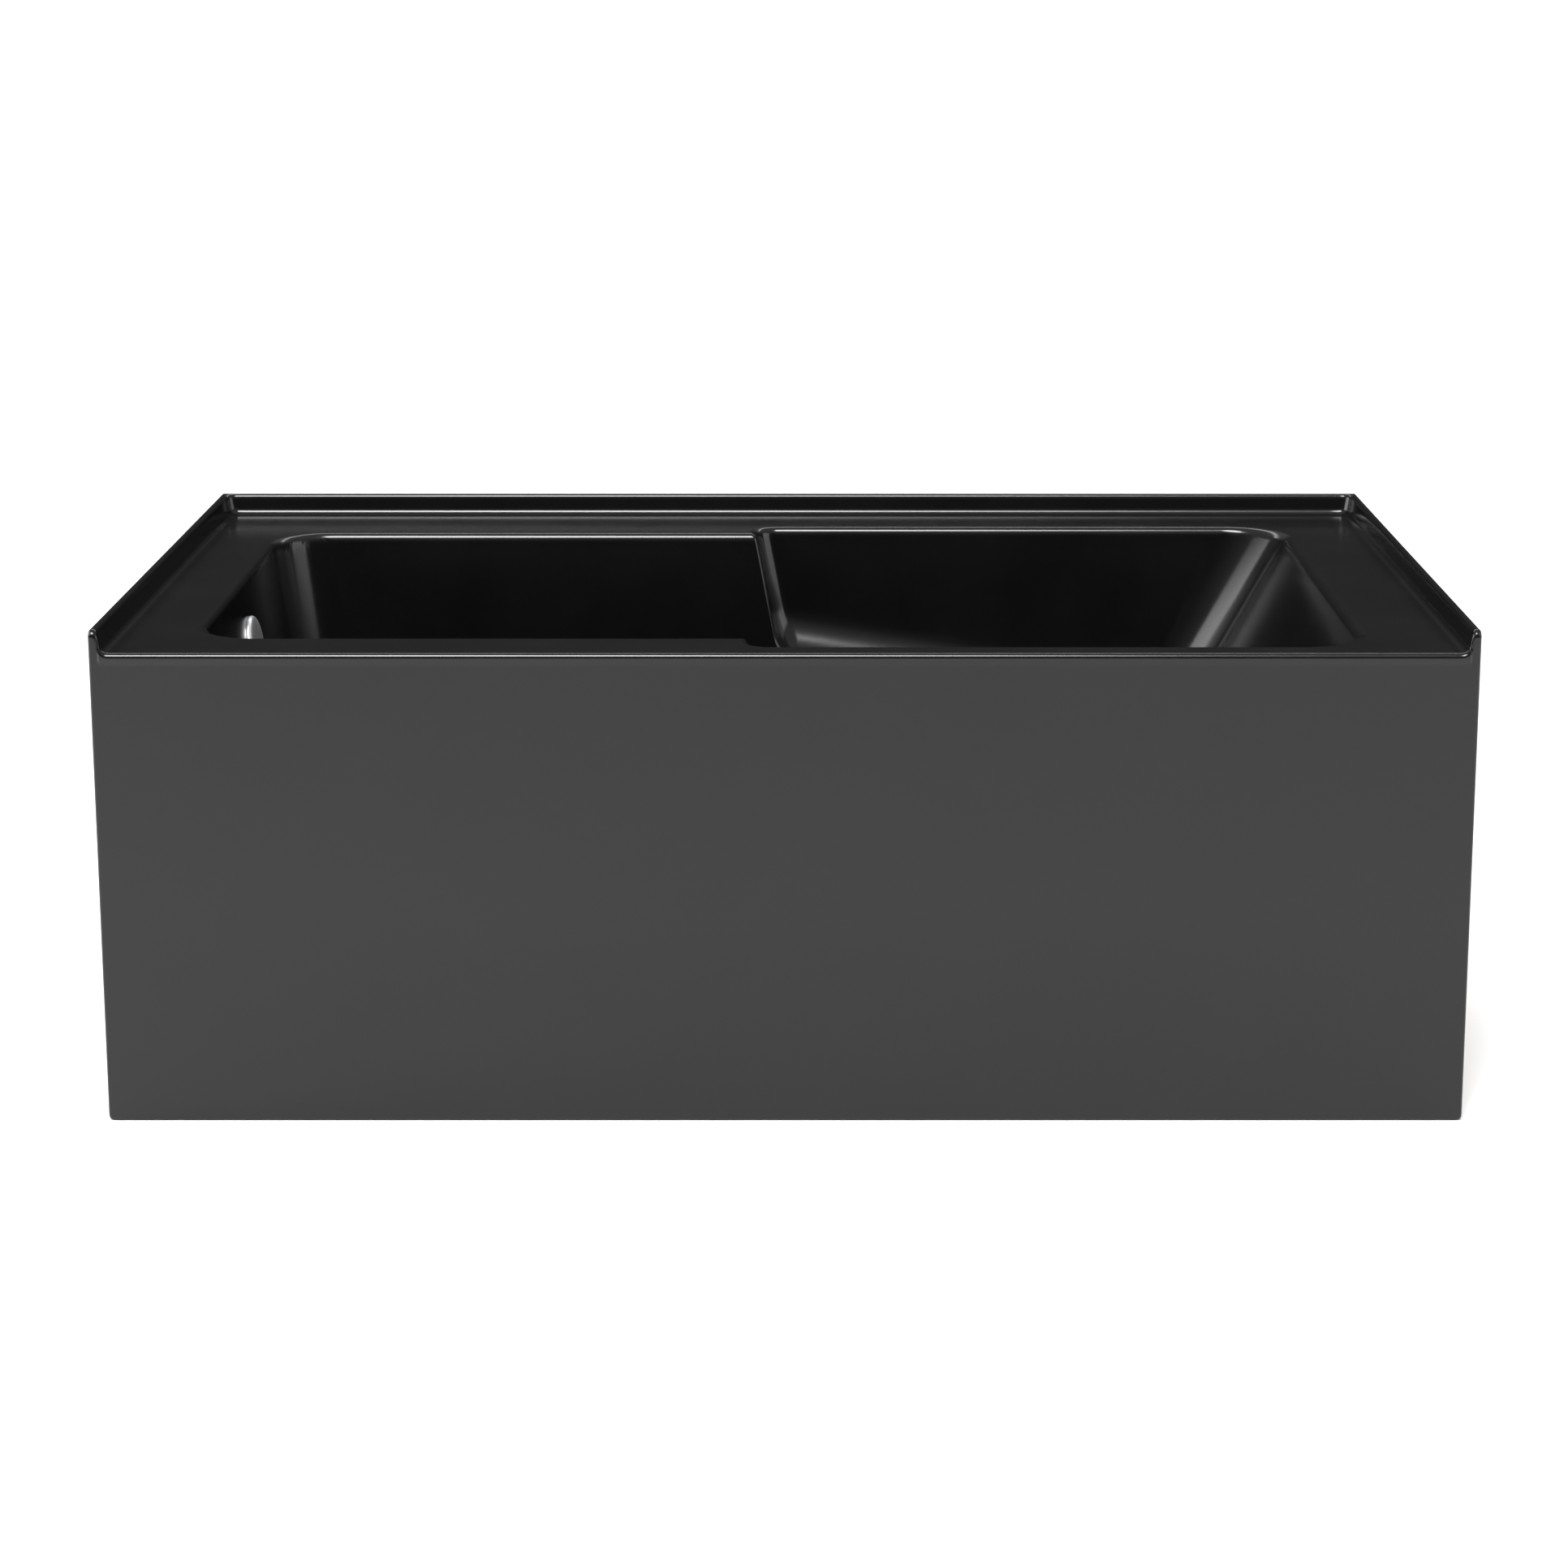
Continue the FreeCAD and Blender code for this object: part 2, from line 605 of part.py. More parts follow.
def waste_parts():
    """Pipework from the drain shoe and the overflow to the tailpiece."""
    stack = V(STACK_X, BASIN_Y, WASTE_Z)
    right = V(1, 0, 0)
    up = V(0, 0, 1)
    shoe_mouth = V(DRAIN_X - SHOE_OUTLET, BASIN_Y, WASTE_Z)
    side = stack + right * TEE_ARM
    top = stack + up * TEE_ARM
    foot = stack - up * TEE_FOOT
    tee = rod(SOCKET_R, foot, top).fuse(rod(SOCKET_R, stack, side))
    tee = tee.cut(rod(PIPE_R, foot, top)).cut(rod(PIPE_R, stack, side))
    elbow_foot = overflow_elbow_foot()
    tail_start = V(STACK_X, BASIN_Y, TAIL_Z0)
    return {
        "waste_tube": tube(PIPE_R, PIPE_BORE, shoe_mouth + right * PIPE_IN, side - right * PIPE_IN),
        "waste_slip_nut_shoe": slip_nut(shoe_mouth, right * -1),
        "waste_slip_nut_tee": slip_nut(side, right),
        "waste_tee": tee,
        "overflow_tube": tube(PIPE_R, PIPE_BORE, top - up * PIPE_IN, elbow_foot + up * PIPE_IN),
        "overflow_slip_nut": slip_nut(top, up),
        "tailpiece": tailpiece(tail_start, foot),
        "tailpiece_slip_nut": slip_nut(foot, up * -1),
    }


# ---- overflow ----

def overflow_elbow_foot():
    """Centre of the lower mouth of the overflow elbow."""
    return V(STACK_X, BASIN_Y, DECK_Z - OVERFLOW_FOOT_DROP)


def overflow_parts():
    face, out = overflow_axis(SKIN)
    mouth = face + out * OVERFLOW_GASKET_T
    reach = (mouth.x - STACK_X) / -out.x
    bend = mouth + out * reach
    foot = overflow_elbow_foot()
    wall = OVERFLOW_BODY_R - PIPE_R
    body = rod(OVERFLOW_LIP_R, mouth, mouth + out * OVERFLOW_LIP_T)
    body = body.fuse(rod(OVERFLOW_BODY_R, mouth, bend)).fuse(Part.makeSphere(OVERFLOW_BODY_R, bend))
    body = body.fuse(rod(SOCKET_R, bend, foot))
    hollow = rod(PIPE_R, mouth - out, bend).fuse(Part.makeSphere(OVERFLOW_BODY_R - wall, bend))
    body = body.cut(hollow.fuse(rod(PIPE_R, bend, foot - V(0, 0, 1))))
    half = PIPE_R + WELD
    bridge = Part.makeBox(BRIDGE_T, 2 * half, BRIDGE_W)
    bridge.Placement = FreeCAD.Placement(mouth, FreeCAD.Rotation(V(-1, 0, 0), out))
    bridge.translate(out * BRIDGE_IN - V(0, half, BRIDGE_W / 2))
    wall_point, out = overflow_axis(0)
    inward = out * -1
    top = wall_point + inward * COVER_H
    screw = rod(COVER_SCREW_R, top, top + out * (COVER_H + SKIN + OVERFLOW_GASKET_T + COVER_SCREW_IN))
    screw = screw.fuse(rod(COVER_SCREW_HEAD_R, top, top + inward * COVER_SCREW_HEAD_H))
    return {
        "overflow_elbow": body.fuse(bridge).cut(screw),
        "overflow_gasket": tube(OVERFLOW_LIP_R, OVERFLOW_HOLE_R, face, mouth),
        "overflow_cover": overflow_cover(wall_point, inward).cut(screw),
        "overflow_screw": screw,
    }


def overflow_cover(base, inward):
    """A shallow dome with a bevelled rim, hollow behind, with a water slot in its lower edge."""
    rise = COVER_H - COVER_BEVEL
    hollow_r = COVER_R - COVER_WALL
    turns = [radians(angle) for angle in CROWN_ANGLES]
    crown = [(COVER_R * cos(t), COVER_BEVEL + rise * sin(t)) for t in turns]
    inside = [(hollow_r * cos(t), COVER_BEVEL - COVER_WALL + rise * sin(t)) for t in reversed(turns)]
    outline = [(COVER_R, 0), (COVER_R, COVER_BEVEL)] + crown + inside + [(hollow_r - PAST, 0)]
    dome = lathe(outline, base, inward)
    slot_z = base.z - COVER_R
    slot = box(base.x - COVER_R, base.x + COVER_R, base.y - COVER_NOTCH_W / 2, base.y + COVER_NOTCH_W / 2,
               slot_z - COVER_NOTCH_H, slot_z + COVER_NOTCH_H)
    return dome.cut(slot)


# ---- assembly ----

def build():
    parts = {
        "acrylic_shell": acrylic_shell(),
        "fibreglass_backing": fibreglass_backing(),
        "base_board": base_board(),
        "rail_screws": Part.makeCompound(rail_screws()),
        "rail_weld_nuts": Part.makeCompound(weld_nuts()),
        "foot_lock_nuts": Part.makeCompound(lock_nuts()),
        "bracket_screws": Part.makeCompound(bracket_screws()),
        "drain_flange": drain_flange(),
        "drain_gasket": tube(DRAIN_GASKET_R, DRAIN_THROAT_R, V(DRAIN_X, BASIN_Y, BOARD_Z1 - DRAIN_GASKET_T),
                             V(DRAIN_X, BASIN_Y, BOARD_Z1)),
        "drain_shoe": drain_shoe(),
    }
    for name, x in RAIL_XS.items():
        parts["cross_rail_" + name] = cross_rail(x)
        parts["apron_bracket_" + name] = bracket(x)
    for number, (x, y) in enumerate(foot_places(), 1):
        parts["foot_pad_%d" % number] = foot_pad(x, y)
        parts["foot_stud_%d" % number] = foot_stud(x, y)
    for group in (timbers(), stopper(), waste_parts(), overflow_parts()):
        parts.update(group)
    return parts


os.makedirs("parts", exist_ok=True)
for node, shape in build().items():
    save(node, shape)
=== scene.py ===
import json
import math
import bpy
import numpy as np
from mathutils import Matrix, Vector


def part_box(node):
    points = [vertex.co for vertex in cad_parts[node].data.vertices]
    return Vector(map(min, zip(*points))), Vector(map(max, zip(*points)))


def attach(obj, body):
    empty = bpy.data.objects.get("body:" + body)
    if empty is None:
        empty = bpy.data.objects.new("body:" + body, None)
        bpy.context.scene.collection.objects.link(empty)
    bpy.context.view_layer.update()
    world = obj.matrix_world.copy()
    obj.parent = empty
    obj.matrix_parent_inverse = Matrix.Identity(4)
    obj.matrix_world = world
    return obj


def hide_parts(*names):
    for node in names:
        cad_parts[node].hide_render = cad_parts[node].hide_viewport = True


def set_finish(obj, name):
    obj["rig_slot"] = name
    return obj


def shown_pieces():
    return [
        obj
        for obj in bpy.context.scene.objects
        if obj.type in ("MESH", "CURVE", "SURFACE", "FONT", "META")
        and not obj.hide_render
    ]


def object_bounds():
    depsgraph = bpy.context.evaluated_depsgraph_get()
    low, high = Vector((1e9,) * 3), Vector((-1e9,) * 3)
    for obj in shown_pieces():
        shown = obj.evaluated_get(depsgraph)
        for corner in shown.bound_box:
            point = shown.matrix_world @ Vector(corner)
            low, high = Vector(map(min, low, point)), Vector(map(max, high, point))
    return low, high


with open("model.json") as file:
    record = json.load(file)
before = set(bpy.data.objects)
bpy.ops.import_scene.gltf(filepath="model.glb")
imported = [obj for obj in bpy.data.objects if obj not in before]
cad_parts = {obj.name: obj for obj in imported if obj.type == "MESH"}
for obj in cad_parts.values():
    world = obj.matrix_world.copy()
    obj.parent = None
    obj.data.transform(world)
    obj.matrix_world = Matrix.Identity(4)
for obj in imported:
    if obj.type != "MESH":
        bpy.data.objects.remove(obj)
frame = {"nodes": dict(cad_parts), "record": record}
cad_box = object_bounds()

MM = 0.001
NODES = frame["nodes"]


def cad_box_mm(node):
    """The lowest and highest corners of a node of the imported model."""
    low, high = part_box(node)
    return np.array(low) / MM, np.array(high) / MM


# ---- dimensions in millimetres and angles in degrees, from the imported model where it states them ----

shell_low, shell_high = cad_box_mm("acrylic_shell")
drain_low, drain_high = cad_box_mm("drain_flange")
gasket_low, gasket_high = cad_box_mm("overflow_gasket")
cover_low, cover_high = cad_box_mm("overflow_cover")

# the sheet: the acrylic alone, and with the glass fibre behind it
ACRYLIC = 4.0
SKIN = 7.0

# the outside
HALF = shell_high[0]
BACK = shell_high[1]
NOSE_Y = shell_low[1]
TOP = shell_high[2]
DECK = cad_box_mm("apron_top_batten")[1][2] + SKIN
FLOOR = cad_box_mm("base_board")[1][2] + SKIN
EDGE_R = 4.0
TOP_ROUND = 9.0
RIM_ROUND = 8.0

# the tile flange: where its inner face meets the deck, that face's lean, and its rounds
FLANGE_BASE, FLANGE_DRAFT = 14.0, 11.0
FLANGE_CORNER, FLANGE_FOOT, FLANGE_TOP = 12.0, 7.0, 4.2
FRONT_EXTRA_ROUND = 1.3

# the basin: its walls at deck level, how they lean, and the rounds between them
DRAIN_X, BASIN_Y = (drain_low[:2] + drain_high[:2]) / 2
BASIN_LEFT, BASIN_RIGHT, STEP_X = -658.0, 645.0, -42.0
NARROW_HALF, WIDE_HALF = 292.0, 333.0
LEFT_DRAFT, SIDE_DRAFT, STEP_DRAFT, BACKREST = 8.0, 7.0, 11.0, 30.0
BASIN_CORNER, FLOOR_ROUND = 65.0, 50.0

# the recess above the ledges
LEDGE_X, LEDGE_DROP, LEDGE_SLOPE = -20.0, 166.0, 9.0
LEDGE_START, LEDGE_END = 12.0, 530.0
LEDGE_FILLET, STEP_FILLET, LEDGE_EDGE = 62.0, 25.0, 5.0

# the apron: the nose above it, its rounded foot and the lip turned in behind
NOSE_PROUD, NOSE_DEPTH, NOSE_BLEND = 2.0, 14.5, 9.0
NOSE_END, NOSE_FADE = 752.5, 3.5
FRONT_BLEND = 13.0
APRON_Y = NOSE_Y + NOSE_PROUD
APRON_INSIDE = NOSE_Y + ACRYLIC
RETURN_Y = NOSE_Y + 34.0
LIP_Y = NOSE_Y + 22.0
FOOT_ROUND, CORNER_LIFT, LIP_THINNING = 2.5, 6.0, 3.0

# the drain and the overflow
DRAIN_HOLE_R, OVERFLOW_CUT_R, OVERFLOW_GLASS_R = 24.0, 32.0, 26.0
GASKET_HALF = 2.0


# ---- the form of the moulding, as distances: negative inside a hollow, positive in the material ----

def both(a, b, r):
    """Where two forms overlap, with the edge between them rounded."""
    return np.minimum(-r, np.maximum(a, b)) + np.hypot(np.maximum(r + a, 0), np.maximum(r + b, 0))


def either(a, b, r):
    """Where at least one of two forms is, with the corner between them filled."""
    return -both(-a, -b, r)


def lean(out, z, angle):
    """A wall that leans in as it goes down; out is how far a point is beyond it at deck level."""
    t = math.radians(angle)
    return out * math.cos(t) - (z - DECK) * math.sin(t)


def smooth(t):
    """Rises from 0 to 1 as t does, level at both ends."""
    t = np.clip(t, 0, 1)
    return t * t * (3 - 2 * t)


def recess(x, off, z):
    """The wider part above the ledges; off is the distance from the basin's middle line."""
    slope = math.radians(LEDGE_SLOPE)
    ledge = -math.sin(slope) * (x - LEDGE_X) - math.cos(slope) * (z - DECK + LEDGE_DROP)
    side = both(lean(off - WIDE_HALF, z, SIDE_DRAFT), ledge, LEDGE_FILLET)
    return both(side, lean(STEP_X - x, z, STEP_DRAFT), STEP_FILLET)


def basin(x, y, z):
    off = np.abs(y - BASIN_Y)
    left, side = lean(BASIN_LEFT - x, z, LEFT_DRAFT), lean(off - NARROW_HALF, z, SIDE_DRAFT)
    well = both(both(left, side, BASIN_CORNER), FLOOR - z, FLOOR_ROUND)
    hollow = either(well, recess(x, off, z), LEDGE_EDGE)
    return both(hollow, lean(x - BASIN_RIGHT, z, BACKREST), BASIN_CORNER)


def ledge_edge(x):
    """How far from the basin's middle line the ledges' inner edges lie."""
    x = np.clip(x, LEDGE_START, LEDGE_END)
    low, high = np.full(x.shape, FLOOR), np.full(x.shape, DECK)
    for _ in range(30):
        z = (low + high) / 2
        off = NARROW_HALF + (z - DECK) * math.tan(math.radians(SIDE_DRAFT))
        hollow = recess(x, off, z) < 0
        low, high = np.where(hollow, low, z), np.where(hollow, z, high)
    return NARROW_HALF + (low - DECK) * math.tan(math.radians(SIDE_DRAFT))


LEDGE_LINE = float(ledge_edge(np.array([LEDGE_START]))[0])


def nose(x):
    """1 where the deck's nose stands proud of the apron, 0 at the ends of the tile flange."""
    return smooth((NOSE_END - np.abs(x)) / NOSE_FADE)


def moulding(x, y, z):
    """The visible side of the shell: zero on the surface, negative in the material."""
    side = np.maximum(np.abs(x) - HALF, y - BACK)
    front = APRON_Y - NOSE_PROUD * nose(x) - y
    block = both(both(z - TOP, front, TOP_ROUND), side, EDGE_R)
    inner = both(lean(np.abs(x) - HALF + FLANGE_BASE, z, FLANGE_DRAFT),
                 lean(y - BACK + FLANGE_BASE, z, FLANGE_DRAFT), FLANGE_CORNER)
    above = both(inner, DECK - z, FLANGE_FOOT)
    empty = either(above, basin(x, y, z), RIM_ROUND)
    return both(block, -empty, FLANGE_TOP + FRONT_EXTRA_ROUND * smooth((DECK + 12 - z) / 8))


def under_side(x, y, z):
    """Minus the depth of a point below the deck and basin surfaces."""
    return -either(DECK - z, basin(x, y, z), RIM_ROUND)


def height(surface, level, x, y):
    """The height at which a form reaches a level, for every point of a grid."""
    low = np.full(x.shape, FLOOR - 2 * SKIN)
    high = np.full(x.shape, TOP + 1.0)
    for _ in range(34):
        middle = (low + high) / 2
        solid = surface(x, y, middle) <= level
        low = np.where(solid, middle, low)
        high = np.where(solid, high, middle)
    return low


def gradient(surface, x, y, z):
    """The direction in which a form grows fastest."""
    h = 0.05
    n = np.stack([surface(x + h, y, z) - surface(x - h, y, z),
                  surface(x, y + h, z) - surface(x, y - h, z),
                  surface(x, y, z + h) - surface(x, y, z - h)], -1)
    return n / np.maximum(np.linalg.norm(n, axis=-1, keepdims=True), 1e-9)


# ---- grid lines, close together where the surface turns ----

# distances in from an outer face, over the tile flange and its foot
FLANGE_LINES = [4.0, 4.7, 5.3, 6.0, 6.8, 7.6, 8.2, 8.7, 9.1, 9.6, 10.4, 11.2, 12.0, 12.7,
                13.2, 13.8, 14.6, 15.6, 16.8, 18.4, 20.4, 24.0]


def spread(a, b, step):
    """Evenly spaced lines from a up to, not including, b."""
    count = max(1, round(abs(b - a) / step))
    return list(a + (b - a) * np.arange(count) / count)


def stretches(*stops):
    """Lines over a row of stretches; a stop is where a stretch starts and how far apart its lines are."""
    lines = []
    for (start, step), (end, _) in zip(stops, stops[1:]):
        lines += spread(start, end, step)
    return lines


def rounding(radius, count):
    return [radius * (1 - math.cos(math.pi / 2 * i / count)) for i in range(count)]


def grid_x():
    """Lines from the left end to the right end."""
    end = rounding(EDGE_R, 6) + FLANGE_LINES
    lines = stretches((-726, 15), (-666, 0.87), (-655.6, 2.7), (-590, 4.1), (-524, 8), (-476, 9),
                      (-450, 35), (-64, 2), (16, 32), (330, 5.8), (590, 2.6), (634, 1.25), (654, 3.5),
                      (668, 15), (738, 0))
    return [-HALF + d for d in end] + lines + [HALF - d for d in end[::-1]]


def grid_y():
    """Lines from the back of the shell to its front edge."""
    far, near = BASIN_Y + LEDGE_LINE, BASIN_Y - LEDGE_LINE
    lines = stretches((380, 15), (308, 1.3), (286, 1.8), (262, 1.3), (250, 3), (far + 6, 0.6),
                      (far - 1.2, 3.6), (172, 16), (BASIN_Y + DRAIN_HOLE_R, 8),
                      (BASIN_Y - DRAIN_HOLE_R, 16), (-240, 3.6),
                      (near + 1.2, 0.6), (near - 6, 3), (-318, 1.3), (-330, 1.8), (-354, 1.3), (-376, 5),
                      (NOSE_Y + 11, 0))
    front = [NOSE_Y + 11 - d for d in (0, 1.5, 3, 4.2, 5.2)] + [NOSE_Y + d for d in rounding(5.5, 8)[::-1]]
    return [BACK - d for d in rounding(EDGE_R, 6) + FLANGE_LINES] + lines + front


def even_gaps(lines):
    """One more line where needed, so that the back of the sheet can use every second line."""
    if len(lines) % 2 == 0:
        widest = int(np.argmax(np.abs(np.diff(lines))))
        lines = lines[:widest + 1] + [(lines[widest] + lines[widest + 1]) / 2] + lines[widest + 1:]
    return np.array(lines)


def along_ledges(x, y):
    """Bends the lines beside the ledges, so that they run along the ledges' inner edges."""
    off = y - BASIN_Y
    places = [LEDGE_LINE - 62, LEDGE_LINE - 4, LEDGE_LINE + 36, WIDE_HALF - 8]
    weight = np.interp(np.abs(off), places, [0, 1, 1, 0])
    return y + np.sign(off) * (ledge_edge(x) - LEDGE_LINE) * weight


def plan_round(x):
    """At the shell's outer corners: how far the front is set back, and which way it faces in x."""
    u = np.clip((np.abs(x) - HALF + EDGE_R) / EDGE_R, 0, 1)
    return EDGE_R * (1 - np.sqrt(1 - u * u)), u * np.sign(x)


def front_line(x):
    """Where the front edge of the deck lies."""
    return APRON_Y - NOSE_PROUD * nose(x) + plan_round(x)[0]


def round_hole(x, y):
    """Draws the grid round the drain, so that the hole's edge is a circle."""
    dx, dy = x - DRAIN_X, y - BASIN_Y
    square = np.maximum(np.abs(dx), np.abs(dy))
    circle = np.hypot(dx, dy)
    scale = np.where(circle > 0, square / np.maximum(circle, 1e-9), 1)
    fade = smooth((square - DRAIN_HOLE_R) / 30)
    factor = scale + (1 - scale) * fade
    return DRAIN_X + dx * factor, BASIN_Y + dy * factor


# ---- meshes ----

def two_sided(outer, inner, step, removed):
    """A closed sheet: outer is a fine grid of points, inner the same grid with every step-th line."""
    nx, ny = outer.shape[:2]
    mx, my = inner.shape[:2]
    base = nx * ny
    kept = ~removed
    fine_kept = np.kron(kept, np.ones((step, step), bool)).astype(bool)
    i, j = np.nonzero(fine_kept)
    top = np.stack([i * ny + j, i * ny + j + 1, (i + 1) * ny + j + 1, (i + 1) * ny + j], 1)
    i, j = np.nonzero(kept)
    under = base + np.stack([i * my + j, (i + 1) * my + j, (i + 1) * my + j + 1, i * my + j + 1], 1)
    sides = []

    def wall(points, facing):
        sides.append(points if facing else points[::-1])

    padded = np.pad(kept, 1)
    for i in range(mx):
        for j in range(my - 1):
            before, after = padded[i, j + 1], padded[i + 1, j + 1]
            if before != after:
                run = [i * step * ny + j * step + k for k in range(step + 1)]
                wall(run + [base + i * my + j + 1, base + i * my + j], before)
    for i in range(mx - 1):
        for j in range(my):
            before, after = padded[i + 1, j], padded[i + 1, j + 1]
            if before != after:
                run = [(i * step + k) * ny + j * step for k in range(step + 1)]
                wall(run + [base + (i + 1) * my + j, base + i * my + j], after)
    return np.concatenate([outer.reshape(-1, 3), inner.reshape(-1, 3)]), top, under, sides


def make_object(name, points, faces, flat_from=None, normals=None):
    """A mesh object from points in millimetres; faces from flat_from on are flat, the rest smooth."""
    mesh = bpy.data.meshes.new(name)
    mesh.from_pydata((points * MM).tolist(), [], [list(map(int, face)) for face in faces])
    mesh.update()
    flags = np.ones(len(faces), bool)
    if flat_from is not None:
        flags[flat_from:] = False
    mesh.polygons.foreach_set("use_smooth", flags)
    if normals is not None:
        loops = np.zeros(len(mesh.loops), int)
        mesh.loops.foreach_get("vertex_index", loops)
        sizes = np.zeros(len(faces), int)
        mesh.polygons.foreach_get("loop_total", sizes)
        own = normals[loops]
        own[np.repeat(~flags, sizes)] = 0
        mesh.normals_split_custom_set(own.tolist())
    obj = bpy.data.objects.new(name, mesh)
    bpy.context.scene.collection.objects.link(obj)
    return obj


# ---- the acrylic shell ----

# how the apron's rows share out the nose, the face, the rounded foot and the lip
NOSE_SHARES = np.arange(1, 13) / 12
FACE_SHARES = np.arange(1, 15) / 14
FOOT_ANGLES = np.radians(np.arange(15, 91, 15))
LIP_SHARES = np.array([0.25, 0.5, 0.75, 1.0])

# in front of this line the hidden side's grid is drawn together, to end at the apron's inside
DRAWN_FROM = -350.0


def from_overflow(points):
    """Distance from the axis of the overflow, for points near the left wall; large for the others."""
    lean_in = math.radians(LEFT_DRAFT)
    axis = np.array([math.cos(lean_in), 0, math.sin(lean_in)])
    offset = points - (gasket_low + gasket_high) / 2
    along = offset @ axis
    return np.linalg.norm(offset - along[..., None] * axis, axis=-1) + 1000 * (np.abs(along) > 30)


def at_end(x):
    """Whether a column is on the rounded outer edge, where the lip turns in further."""
    return np.abs(x) > HALF - EDGE_R - 0.01


def lip_end(x):
    return np.where(at_end(x), RETURN_Y, LIP_Y)


def corner_lift(x):
    """How far the apron's foot lifts at its outer corners."""
    u = np.clip((np.abs(x) - HALF + CORNER_LIFT) / CORNER_LIFT, 0, 1)
    return CORNER_LIFT * (1 - np.sqrt(1 - u * u))


def apron(columns, start):
    """Points and normals below the front edge: nose, face, rounded foot and the lip turned in behind it."""
    setback, across = plan_round(columns)
    lift = corner_lift(columns)
    end = DECK - NOSE_DEPTH
    z = np.concatenate([start + (end - start) * NOSE_SHARES,
                        end + (lift + FOOT_ROUND - end) * FACE_SHARES,
                        lift + FOOT_ROUND * (1 - np.sin(FOOT_ANGLES)),
                        np.repeat(lift, len(LIP_SHARES), 1)], 1)
    flat = APRON_Y + setback
    blend = smooth((z - end) / NOSE_BLEND)
    y = flat - NOSE_PROUD * nose(columns) * blend
    foot = slice(len(NOSE_SHARES) + len(FACE_SHARES), -len(LIP_SHARES))
    lip = slice(-len(LIP_SHARES), None)
    y[:, foot] = flat + FOOT_ROUND * (1 - np.cos(FOOT_ANGLES))
    y[:, lip] = flat + FOOT_ROUND + (lip_end(columns) - flat - FOOT_ROUND) * LIP_SHARES
    h = 0.05
    steepness = (smooth((z + h - end) / NOSE_BLEND) - smooth((z - h - end) / NOSE_BLEND)) / (2 * h)
    slope_z = NOSE_PROUD * nose(columns) * steepness
    slope_x = NOSE_PROUD * (nose(columns + h) - nose(columns - h)) / (2 * h) * blend
    normals = np.stack([across - slope_x, -np.sqrt(1 - across * across) + 0 * z, -slope_z], -1)
    normals[:, foot] = np.stack(np.broadcast_arrays(across, -np.cos(FOOT_ANGLES), -np.sin(FOOT_ANGLES)), -1)
    normals[:, lip] = (0, 0, -1)
    normals /= np.linalg.norm(normals, axis=-1, keepdims=True)
    return np.stack([np.repeat(columns, z.shape[1], 1), y, z], -1), normals


def hidden_side(columns, x, y, start, tail):
    """Points and normals of the sheet from behind; tail is the apron's visible side on the same lines."""
    inside = np.where(at_end(columns), RETURN_Y, APRON_INSIDE)
    ahead = np.clip((DRAWN_FROM - y) / (DRAWN_FROM - front_line(columns)), 0, 1)
    y = np.where(y < DRAWN_FROM, DRAWN_FROM + (inside - DRAWN_FROM) * ahead, y)
    z = np.minimum(height(under_side, -ACRYLIC, x, y), DECK - ACRYLIC)
    lift = corner_lift(columns)
    share = np.clip((tail[..., 2] - start) / (lift + FOOT_ROUND - start), 0, 1)
    tail_z = (DECK - ACRYLIC) + (lift + ACRYLIC - DECK + ACRYLIC) * share
    tail_y = np.repeat(inside, tail.shape[1], 1)
    turned_in = LIP_SHARES[1::2]
    lip = slice(-len(turned_in), None)
    tail_y[:, lip] = inside + (lip_end(columns) - inside) * turned_in
    tail_z[:, lip] = lift + ACRYLIC - np.where(at_end(columns), LIP_THINNING * turned_in, 0)
    tail_normals = np.zeros(tail.shape)
    tail_normals[..., 1] = 1
    points = np.concatenate([np.stack([x, y, z], -1), np.stack([tail[..., 0], tail_y, tail_z], -1)], 1)
    return points, np.concatenate([-gradient(under_side, x, y, z), tail_normals], 1)


def open_cells(outer):
    """The cells that the drain and the overflow leave open."""
    middle = (outer[:-1:2, :-1:2] + outer[2::2, 2::2]) / 2
    square = np.maximum(np.abs(middle[..., 0] - DRAIN_X), np.abs(middle[..., 1] - BASIN_Y))
    far = from_overflow(outer)
    corners = np.maximum.reduce([far[:-1:2, :-1:2], far[2::2, :-1:2], far[:-1:2, 2::2], far[2::2, 2::2]])
    return (square < DRAIN_HOLE_R - 3) | (corners < OVERFLOW_CUT_R)


def shell():
    """The whole moulding; its hidden side uses every second line of its visible side."""
    xs, ys = even_gaps(grid_x()), even_gaps(grid_y())
    x, y = np.meshgrid(xs, ys, indexing="ij")
    x, y = round_hole(x, along_ledges(x, y))
    y = y + (front_line(xs) - NOSE_Y)[:, None] * smooth((NOSE_Y + FRONT_BLEND - ys) / FRONT_BLEND)
    z = height(moulding, 1e-5, x, y)
    columns, start = xs[:, None], z[:, -1:]
    apron_points, apron_normals = apron(columns, start)
    outer = np.concatenate([np.stack([x, y, z], -1), apron_points], 1)
    outer_normals = np.concatenate([gradient(moulding, x, y, z), apron_normals], 1)
    tail = outer[::2, len(ys) + 1::2]
    inner, inner_normals = hidden_side(columns[::2], x[::2, ::2], y[::2, ::2], start[::2], tail)
    points, top, under, sides = two_sided(outer, inner, 2, open_cells(outer))
    normals = np.concatenate([outer_normals.reshape(-1, 3), inner_normals.reshape(-1, 3)])
    faces = list(top) + list(under) + sides
    return make_object("tub_moulding", points, faces, len(top) + len(under), normals)


tub = shell()
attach(tub, "root")
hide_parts("acrylic_shell")
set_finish(tub, "acrylic")


# ---- glass-fibre backing ----

RAGGED_EDGE, LOWEST_EDGE = 14.0, 12.0


